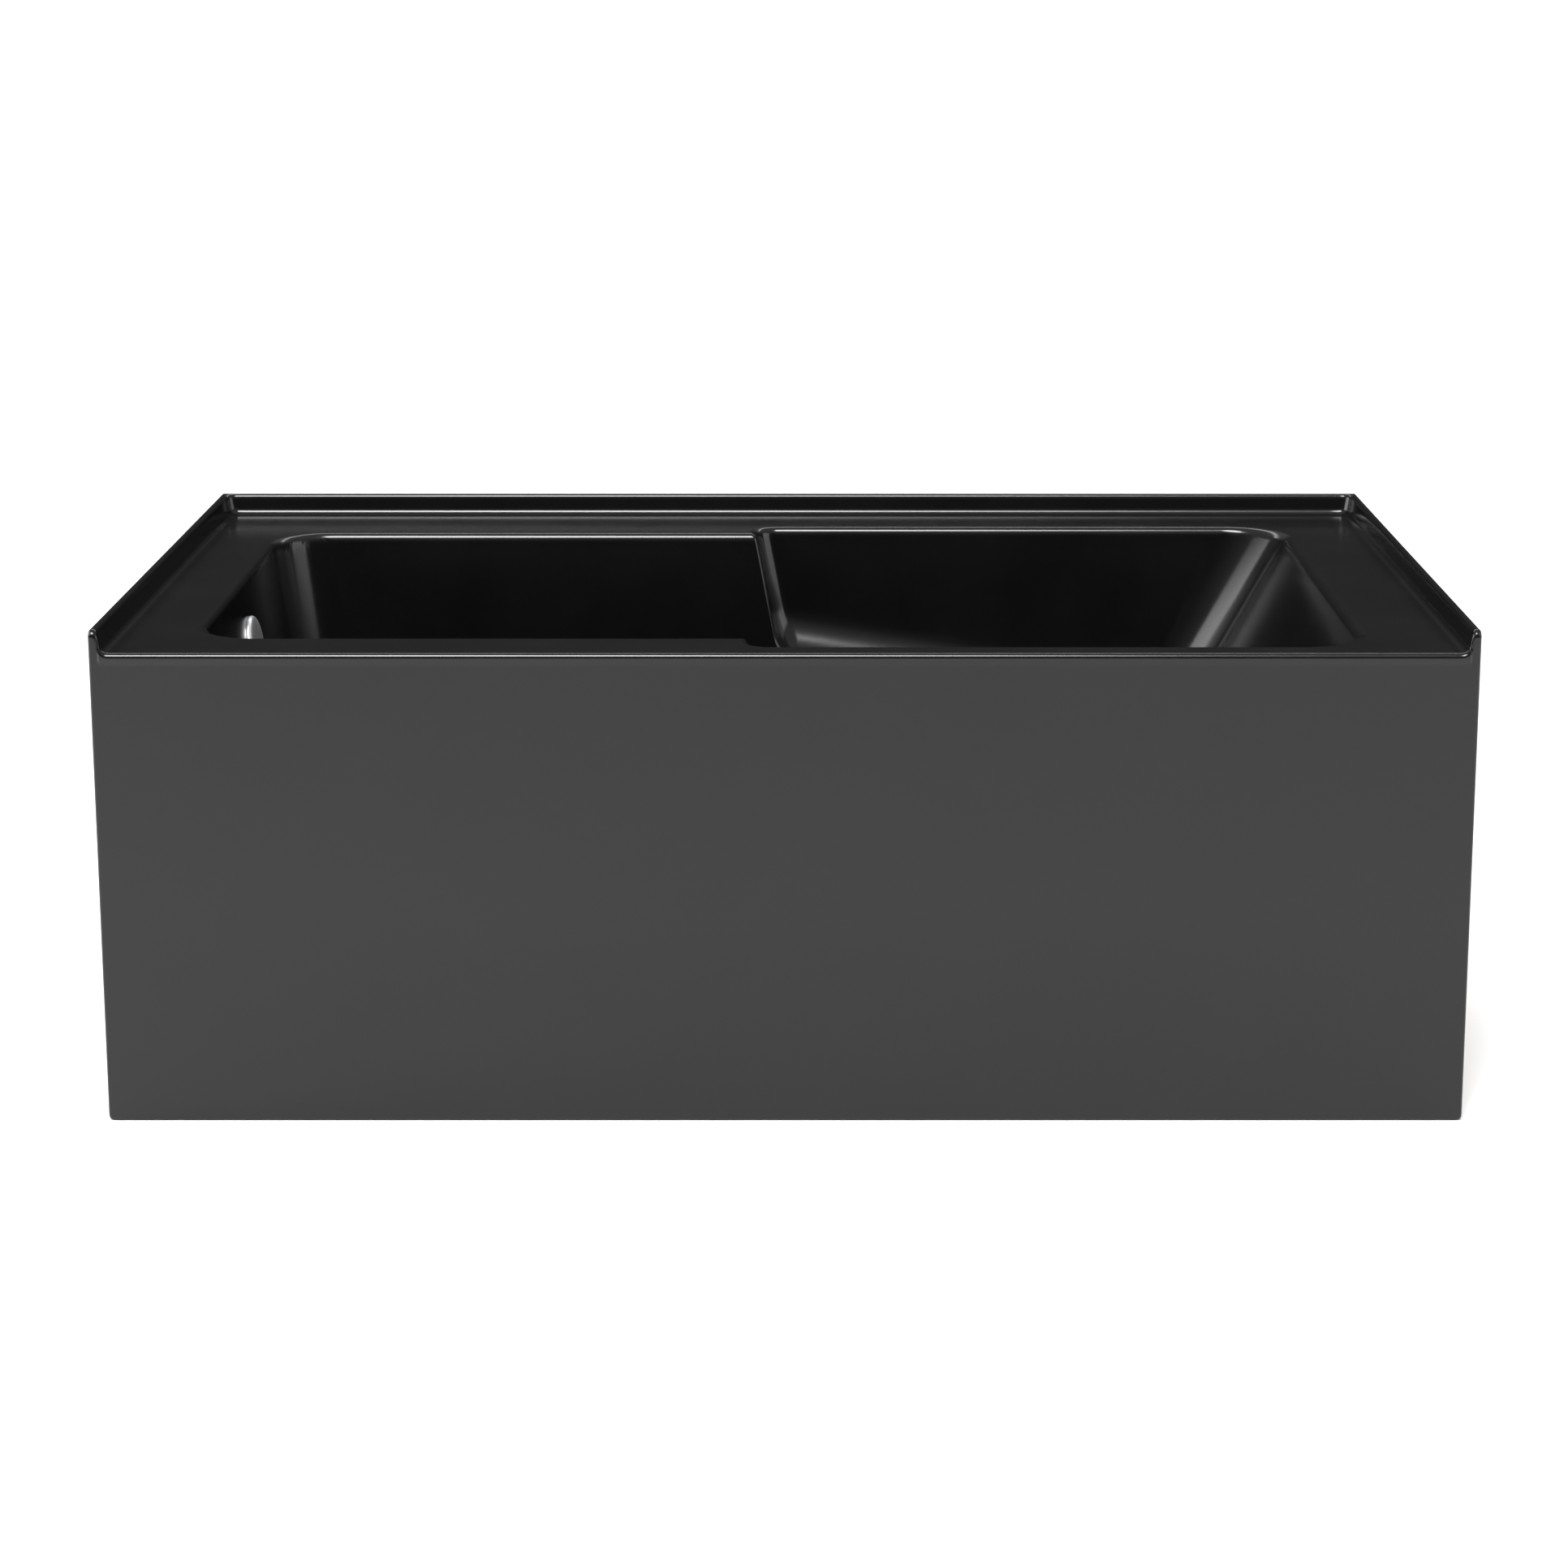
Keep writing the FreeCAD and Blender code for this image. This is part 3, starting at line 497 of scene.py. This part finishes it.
def ripples(points, sizes, seed):
    """Smooth unevenness, from a fixed set of waves in all directions."""
    waves = np.random.default_rng(seed)
    total = np.zeros(points.shape[:-1])
    for size in sizes:
        for _ in range(6):
            way = waves.normal(size=3)
            way /= np.linalg.norm(way)
            total += np.sin(points @ way * (2 * math.pi / size) + waves.uniform(0, 6.28)) / 6 ** 0.5
    return total / len(sizes) ** 0.5


def backing():
    """The sprayed layer behind the acrylic, uneven on the side away from it."""
    reach = HALF - 2 * ACRYLIC
    xs = np.array(stretches((-reach, 5), (-640, 4), (-520, 9), (-70, 4), (20, 9), (300, 5.5), (640, 5),
                            (reach, 0)) + [reach])
    ys = np.array(stretches((BACK - 8, 5), (170, 9), (-240, 4), (-370, 6), (APRON_INSIDE, 0)) + [APRON_INSIDE])
    x, y = np.meshgrid(xs, ys, indexing="ij")
    x, y = round_hole(x, y)
    depth = 0.55 * ripples(np.stack([x, y, 0 * x], -1), (17, 29, 61), 5)
    front = np.clip((DRAWN_FROM - y) / (DRAWN_FROM - APRON_INSIDE), 0, 1)
    down = np.linspace(0, 1, 45)[1:]
    sheets = []
    for level, uneven in ((ACRYLIC + 0.1, 0), (SKIN, 1)):
        face = APRON_INSIDE + level - ACRYLIC
        moved = np.where(y < DRAWN_FROM, DRAWN_FROM + (face - DRAWN_FROM) * front, y)
        z = np.minimum(height(under_side, -level, x, moved), DECK - level)
        facing = gradient(under_side, x, moved, z)
        body = np.stack([x, moved, z], -1) - facing * (np.clip(depth, -1.2, 0.6) * uneven)[..., None]
        ax = np.repeat(xs[:, None], len(down), 1)
        ragged = RAGGED_EDGE + 3.0 * ripples(np.stack([ax, 0 * ax, 0 * ax], -1), (23, 47, 90), 8)
        az = z[:, -1:] + (np.maximum(ragged, LOWEST_EDGE) - z[:, -1:]) * down
        wave = 0.5 * np.clip(ripples(np.stack([ax, 0 * ax, az], -1), (17, 29, 61), 6), -1.5, 1.0) * uneven
        sheets.append(np.concatenate([body, np.stack([ax, face + wave, az], -1)], 1))
    inner, outer = sheets
    middle = (outer[:-1, :-1] + outer[1:, 1:]) / 2
    drain = np.hypot(middle[..., 0] - DRAIN_X, middle[..., 1] - BASIN_Y) < DRAIN_HOLE_R + 3
    removed = drain | (from_overflow(middle) < OVERFLOW_GLASS_R)
    points, top, under, sides = two_sided(inner, outer, 1, removed)
    return make_object("glass_fibre_backing", points, list(top) + list(under) + sides)


backing_obj = backing()
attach(backing_obj, "root")
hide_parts("fibreglass_backing")
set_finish(backing_obj, "fibreglass")


# ---- turned pieces ----

THREAD_R, THREAD_DEPTH, PITCH = 6.0, 1.0, 1.75
SCREW_SEAT_R = 6.4


def turned(name, rows, count, base, axis, body, slot_name, nodes):
    """A piece turned about an axis square to Y, from rows of (height, radius or function of the angle)."""
    axis = Vector(axis).normalized()
    side = Vector((0, 1, 0))
    frame_axes = np.array([side, axis.cross(side), axis])
    angle = np.arange(count) * (2 * math.pi / count)
    rings = []
    for high, radius in rows:
        r = radius(angle, high) if callable(radius) else np.full(count, float(radius))
        rings.append(np.stack([r * np.cos(angle), r * np.sin(angle), np.full(count, float(high))], -1))
    points = np.array(rings).reshape(-1, 3) @ frame_axes + np.array(base)
    faces = []
    for i in range(len(rows) - 1):
        for j in range(count):
            k = (j + 1) % count
            faces.append((i * count + j, i * count + k, (i + 1) * count + k, (i + 1) * count + j))
    ends = [tuple(range(count))[::-1], tuple((len(rows) - 1) * count + j for j in range(count))]
    obj = make_object(name, points, faces + ends)
    obj.data.set_sharp_from_angle(angle=math.radians(32))
    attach(obj, body)
    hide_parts(*nodes)
    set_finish(obj, slot_name)
    return obj


def chamfered(flats, cut):
    """The radius of a hexagon this wide across its flats, with its corners turned down to a circle."""
    def radius(angle, _):
        return np.minimum(flats / 2 / np.cos((angle + math.pi / 6) % (math.pi / 3) - math.pi / 6), cut)
    return radius


def thread(angle, high):
    turn = (high / PITCH - angle / (2 * math.pi)) % 1.0
    return THREAD_R - THREAD_DEPTH * np.clip(np.abs(turn - 0.5) * 2.4 - 0.2, 0, 1)


def stud_rows(low, high):
    """A ball-ended stud: head in the pad, neck, hexagonal collar and a rolled thread."""
    z0 = low[2]
    rows = [(z0, 6.2), (z0 + 0.8, 7.4), (z0 + 1.8, 8.0), (z0 + 5.2, 8.0), (z0 + 6, 7.6), (z0 + 6, 5.4),
            (z0 + 10.6, 5.4), (z0 + 11, 7.6), (z0 + 11, chamfered(17, 8.5)), (z0 + 12, chamfered(17, 9.6)),
            (z0 + 16, chamfered(17, 9.6)), (z0 + 17, chamfered(17, 8.5)), (z0 + 17, 5.0), (z0 + 18, 5.0)]
    z = z0 + 18.2
    while z < high[2] - 1.0:
        rows.append((z, thread))
        z += PITCH / 7
    rows += [(high[2] - 0.9, 5.0), (high[2], 4.4)]
    return rows


for name in sorted(name for name in NODES if name.startswith("foot_stud_")):
    low, high = cad_box_mm(name)
    centre = (low + high) / 2
    turned(name + "_threaded", stud_rows(low, high), 30, (centre[0], centre[1], 0), (0, 0, 1),
           name.replace("foot_stud_", "foot_") + "_stud", "zinc", (name,))


def overflow_faceplate():
    """The round overflow cover: a shallow dome with a rolled rim and a screw seat."""
    t = math.radians(LEFT_DRAFT)
    out = np.array([math.cos(t), 0, math.sin(t)])
    base = (gasket_low + gasket_high) / 2 + out * (SKIN + GASKET_HALF)
    r = (cover_high[1] - cover_low[1]) / 2
    rim, dome = 4.0, 5.0
    rows = [(0.0, r - 1.4), (0.0, r - 0.5), (0.25, r - 0.1), (0.8, r), (2.6, r), (3.4, r - 0.25),
            (rim, r - 0.9)]
    for degrees in range(8, 91, 5):
        s = math.radians(degrees)
        rows.append((rim + dome * math.sin(s), (r - 0.9) * math.cos(s) ** 0.8))
    rows = [row for row in rows if row[1] >= SCREW_SEAT_R] + [(rim + dome, 3.0)]
    turned("overflow_faceplate", rows, 96, tuple(base), tuple(out), "root", "chrome", ("overflow_cover",))


overflow_faceplate()


# ---- materials ----

def new_material(name):
    """A material, its node tree and its shader."""
    material = bpy.data.materials.new(name)
    material.use_nodes = True
    tree = material.node_tree
    shader = tree.nodes["Principled BSDF"]
    return material, tree, shader


def add(tree, kind, inputs=None, **settings):
    """A shader node; an input is either another node's output or a value."""
    node = tree.nodes.new(kind)
    for key, value in settings.items():
        setattr(node, key, value)
    for key, value in (inputs or {}).items():
        if isinstance(value, bpy.types.NodeSocket):
            tree.links.new(value, node.inputs[key])
        else:
            node.inputs[key].default_value = value
    return node


def coordinates(tree, scale=(1, 1, 1)):
    """A point's place on its own piece, in metres, stretched along each axis."""
    place = add(tree, "ShaderNodeTexCoord").outputs["Object"]
    return add(tree, "ShaderNodeMapping", {"Vector": place, "Scale": scale}).outputs["Vector"]


def noise(tree, vector, scale, detail, rough):
    return add(tree, "ShaderNodeTexNoise", {"Vector": vector, "Scale": scale, "Detail": detail,
                                            "Roughness": rough}).outputs["Fac"]


def ramp(tree, value, low, high, a=0.0, b=1.0):
    """Goes from low to high as the value goes from a to b."""
    return add(tree, "ShaderNodeMapRange", {"Value": value, "From Min": a, "From Max": b, "To Min": low,
                                            "To Max": high}).outputs["Result"]


def colours(tree, value, stops):
    node = add(tree, "ShaderNodeValToRGB", {"Fac": value})
    while len(node.color_ramp.elements) < len(stops):
        node.color_ramp.elements.new(0.5)
    for element, (place, colour) in zip(node.color_ramp.elements, stops):
        element.position = place
        element.color = (*colour, 1)
    return node.outputs["Color"]


def bump(tree, shader, value, strength, distance, chain=None):
    node = add(tree, "ShaderNodeBump", {"Height": value, "Strength": strength, "Distance": distance})
    if chain:
        tree.links.new(chain, node.inputs["Normal"])
    tree.links.new(node.outputs["Normal"], shader.inputs["Normal"])
    return node.outputs["Normal"]


def acrylic():
    """Black gloss, a little hazy, with the slow waves and fine orange peel of a moulded sheet."""
    m, t, s = new_material("black_acrylic")
    v = coordinates(t)
    haze = noise(t, v, 9.0, 4.0, 0.6)
    fine = noise(t, v, 340.0, 2.0, 0.5)
    wave = noise(t, v, 16.0, 1.0, 0.4)
    t.links.new(colours(t, haze, [(0.3, (0.0034, 0.0034, 0.0036)), (0.7, (0.0046, 0.0046, 0.0048))]),
                s.inputs["Base Color"])
    t.links.new(ramp(t, haze, 0.16, 0.19, 0.3, 0.7), s.inputs["Roughness"])
    s.inputs["IOR"].default_value = 1.49
    first = bump(t, s, wave, 0.04, 0.0004)
    bump(t, s, fine, 0.05, 0.00002, first)
    return m


def glass_fibre():
    """Chopped strands lying every way in a yellowish resin."""
    m, t, s = new_material("glass_fibre_mat")
    v = coordinates(t)
    strands = None
    for angle in (0.3, 1.3, 2.2, 2.9):
        turn = add(t, "ShaderNodeMapping", {"Vector": v, "Rotation": (angle * 0.7, angle, angle * 1.9),
                                            "Scale": (46, 460, 460)})
        layer = noise(t, turn.outputs["Vector"], 1.0, 2.0, 0.55)
        strands = layer if strands is None else add(
            t, "ShaderNodeMath", {0: strands, 1: layer}, operation="MAXIMUM").outputs["Value"]
    resin = noise(t, v, 24.0, 4.0, 0.6)
    mixed = add(t, "ShaderNodeMath", {0: strands, 1: resin}, operation="MULTIPLY").outputs["Value"]
    stops = [(0.2, (0.30, 0.28, 0.22)), (0.36, (0.46, 0.44, 0.36)), (0.5, (0.63, 0.61, 0.53))]
    t.links.new(colours(t, mixed, stops), s.inputs["Base Color"])
    t.links.new(ramp(t, strands, 0.28, 0.6, 0.4, 0.8), s.inputs["Roughness"])
    first = bump(t, s, strands, 0.6, 0.0008)
    bump(t, s, resin, 0.4, 0.002, first)
    return m


def wood(name, dark, light, along):
    """Sawn softwood: grain along one axis, with growth bands and fine pores."""
    m, t, s = new_material(name)
    stretch = [60.0, 60.0, 60.0]
    stretch[along] = 3.0
    v = coordinates(t, tuple(stretch))
    bands = add(t, "ShaderNodeTexWave", {"Vector": v, "Scale": 0.55, "Distortion": 6.0, "Detail": 3.0,
                                         "Detail Scale": 1.2}, wave_type="RINGS").outputs["Fac"]
    pores = noise(t, v, 7.0, 5.0, 0.65)
    mixed = add(t, "ShaderNodeMath", {0: bands, 1: pores}, operation="MULTIPLY").outputs["Value"]
    t.links.new(colours(t, mixed, [(0.1, dark), (0.55, light)]), s.inputs["Base Color"])
    t.links.new(ramp(t, pores, 0.62, 0.85), s.inputs["Roughness"])
    bump(t, s, pores, 0.35, 0.0006)
    return m


def particle_board():
    m, t, s = new_material("particle_board")
    v = coordinates(t)
    chips = add(t, "ShaderNodeTexVoronoi", {"Vector": v, "Scale": 260.0, "Randomness": 1.0})
    shade = noise(t, v, 90.0, 5.0, 0.7)
    distance = chips.outputs["Distance"]
    tone = add(t, "ShaderNodeMath", {0: distance, 1: shade}, operation="ADD").outputs["Value"]
    stops = [(0.45, (0.22, 0.14, 0.07)), (0.8, (0.42, 0.29, 0.16)), (1.1, (0.55, 0.42, 0.26))]
    t.links.new(colours(t, tone, stops), s.inputs["Base Color"])
    t.links.new(ramp(t, shade, 0.7, 0.9), s.inputs["Roughness"])
    bump(t, s, tone, 0.4, 0.0006)
    return m


def metal(name, dark, light, rough, scale, bumpy):
    """Metal with crystals of slightly different greys."""
    m, t, s = new_material(name)
    v = coordinates(t)
    cells = add(t, "ShaderNodeTexVoronoi", {"Vector": v, "Scale": scale, "Randomness": 1.0}).outputs["Color"]
    grey = add(t, "ShaderNodeSeparateColor", {"Color": cells}).outputs["Red"]
    fine = noise(t, v, scale * 9, 3.0, 0.6)
    t.links.new(colours(t, grey, [(0.0, dark), (1.0, light)]), s.inputs["Base Color"])
    t.links.new(ramp(t, fine, rough * 0.8, rough * 1.3, 0.3, 0.7), s.inputs["Roughness"])
    s.inputs["Metallic"].default_value = 1.0
    bump(t, s, fine, bumpy, 0.0001)
    return m


def moulded(name, dark, light, rough, grain):
    """Plastic or rubber with a fine moulded grain."""
    m, t, s = new_material(name)
    v = coordinates(t)
    tone = noise(t, v, 22.0, 4.0, 0.6)
    fine = noise(t, v, grain, 2.0, 0.5)
    t.links.new(colours(t, tone, [(0.3, dark), (0.7, light)]), s.inputs["Base Color"])
    t.links.new(ramp(t, fine, rough * 0.85, rough * 1.15, 0.3, 0.7), s.inputs["Roughness"])
    bump(t, s, fine, 0.25, 0.00012)
    return m


TIMBER = ((0.36, 0.21, 0.10), (0.66, 0.48, 0.28))
MATERIALS = {
    "acrylic": acrylic(),
    "fibreglass": glass_fibre(),
    "board": particle_board(),
    "timber": wood("timber_along_x", *TIMBER, 0),
    "galvanised": metal("galvanised_steel", (0.44, 0.46, 0.48), (0.66, 0.68, 0.70), 0.38, 120.0, 0.2),
    "zinc": metal("zinc_plated_steel", (0.56, 0.55, 0.50), (0.68, 0.67, 0.62), 0.28, 400.0, 0.12),
    "rubber": moulded("black_rubber", (0.012, 0.012, 0.012), (0.022, 0.021, 0.020), 0.7, 900.0),
    "foot_plastic": moulded("grey_foot_plastic", (0.035, 0.035, 0.037), (0.055, 0.055, 0.058), 0.5, 1200.0),
    "pipe": moulded("white_pipe", (0.68, 0.69, 0.68), (0.78, 0.78, 0.77), 0.33, 500.0),
    "fitting": moulded("white_fitting", (0.72, 0.72, 0.70), (0.82, 0.81, 0.79), 0.42, 1400.0),
    "brass": metal("cast_brass", (0.55, 0.38, 0.14), (0.70, 0.50, 0.21), 0.34, 600.0, 0.25),
    "chrome": metal("polished_chrome", (0.78, 0.79, 0.81), (0.9, 0.91, 0.92), 0.4, 900.0, 0.02),
}
timber_up = wood("timber_upright", *TIMBER, 2)
timber_across = wood("timber_across", *TIMBER, 1)

slot_of = {part["node"]: part["material_slot"] for part in frame["record"]["subparts"]}
for node, obj in NODES.items():
    material = MATERIALS[slot_of[node]]
    if node.startswith("apron_rib"):
        material = timber_up
    if node.endswith("end_batten"):
        material = timber_across
    obj.data.materials.clear()
    obj.data.materials.append(material)
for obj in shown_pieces():
    if not obj.data.materials:
        obj.data.materials.append(MATERIALS[obj["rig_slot"]])


# ---- floor, lights and camera ----

# the camera, in metres and degrees: pitched down, with the shift making up part of the photo's upright view
CAMERA_PLACE, CAMERA_PITCH = (0.0246, -3.7607, 1.3501), 11.098
CAMERA_LENS, CAMERA_SENSOR, CAMERA_SHIFT = 72.45, 36, (-0.0148, -0.17)

# the key light, a sun: strength, width, and where it stands
KEY_STRENGTH, KEY_ANGLE, KEY_AZIMUTH, KEY_ELEVATION = 3.5, 26, -14, 60

# soft boxes: place and target in metres, size and watts
SOFTBOXES = (
    ("back_strip", (0.0, 2.6, 3.2), (0.0, 0.0, 0.5), (5.0, 0.4), 34),
    ("right_box", (3.2, -0.9, 1.7), (-0.3, 0.1, 0.45), (2.6, 1.7), 28),
    ("left_box", (-3.3, -0.2, 1.8), (0.3, 0.1, 0.45), (2.8, 1.7), 75),
)

# what surfaces reflect of the room: its grey by how far up a direction points
ROOM_GREYS = ((0.05, 0.012), (0.17, 0.04), (0.3, 0.05), (0.7, 0.5))

FLOOR_REACH, FLOOR_DROP = 90, 0.0005


def place_in_scene(name, data):
    obj = bpy.data.objects.new(name, data)
    bpy.context.scene.collection.objects.link(obj)
    return obj


def floor():
    """A pale floor just under the part."""
    r = FLOOR_REACH
    mesh = bpy.data.meshes.new("floor")
    mesh.from_pydata([(-r, -r, 0), (r, -r, 0), (r, r, 0), (-r, r, 0)], [], [(0, 1, 2, 3)])
    obj = place_in_scene("floor", mesh)
    obj.location.z = cad_box[0].z - FLOOR_DROP
    material, _, shader = new_material("pale_floor")
    shader.inputs["Base Color"].default_value = (0.9, 0.9, 0.9, 1)
    shader.inputs["Roughness"].default_value = 0.8
    mesh.materials.append(material)
    return obj


floor_obj = floor()


def studio():
    """The world: white where the camera sees it, a dim grey room where surfaces reflect it."""
    world = bpy.data.worlds.new("studio")
    world.use_nodes = True
    air = world.node_tree
    backdrop = add(air, "ShaderNodeBackground", {"Color": (1, 1, 1, 1), "Strength": 1.0})
    direction = add(air, "ShaderNodeTexCoord").outputs["Generated"]
    up = add(air, "ShaderNodeSeparateXYZ", {"Vector": direction}).outputs["Z"]
    glow = colours(air, up, [(place, (grey,) * 3) for place, grey in ROOM_GREYS])
    dark_room = add(air, "ShaderNodeBackground", {"Color": glow, "Strength": 1.0})
    seen = add(air, "ShaderNodeLightPath").outputs["Is Camera Ray"]
    mixed = add(air, "ShaderNodeMixShader", {0: seen, 1: dark_room.outputs[0], 2: backdrop.outputs[0]})
    air.links.new(mixed.outputs[0], air.nodes["World Output"].inputs["Surface"])
    return world


def softbox(name, place, target, size, watts):
    data = bpy.data.lights.new(name, "AREA")
    data.shape = "RECTANGLE"
    data.size, data.size_y = size
    data.energy = watts
    lamp = place_in_scene(name, data)
    lamp.location = place
    lamp.rotation_euler = (Vector(target) - Vector(place)).to_track_quat("-Z", "Y").to_euler()


def key_light():
    data = bpy.data.lights.new("key", "SUN")
    data.energy = KEY_STRENGTH
    data.angle = math.radians(KEY_ANGLE)
    azimuth, elevation = math.radians(KEY_AZIMUTH), math.radians(KEY_ELEVATION)
    toward = Vector((math.sin(azimuth) * math.cos(elevation), -math.cos(azimuth) * math.cos(elevation),
                     math.sin(elevation)))
    place_in_scene("key", data).rotation_euler = (-toward).to_track_quat("-Z", "Y").to_euler()


def main_camera():
    data = bpy.data.cameras.new("camera")
    data.lens = CAMERA_LENS
    data.sensor_width = CAMERA_SENSOR
    data.shift_x, data.shift_y = CAMERA_SHIFT
    camera = place_in_scene("camera", data)
    camera.location = CAMERA_PLACE
    camera.rotation_euler = (math.radians(90 - CAMERA_PITCH), 0, 0)
    return camera


bpy.context.scene.world = studio()
key_light()
for box in SOFTBOXES:
    softbox(*box)
bpy.context.scene.camera = main_camera()
bpy.context.scene.view_settings.view_transform = "Standard"
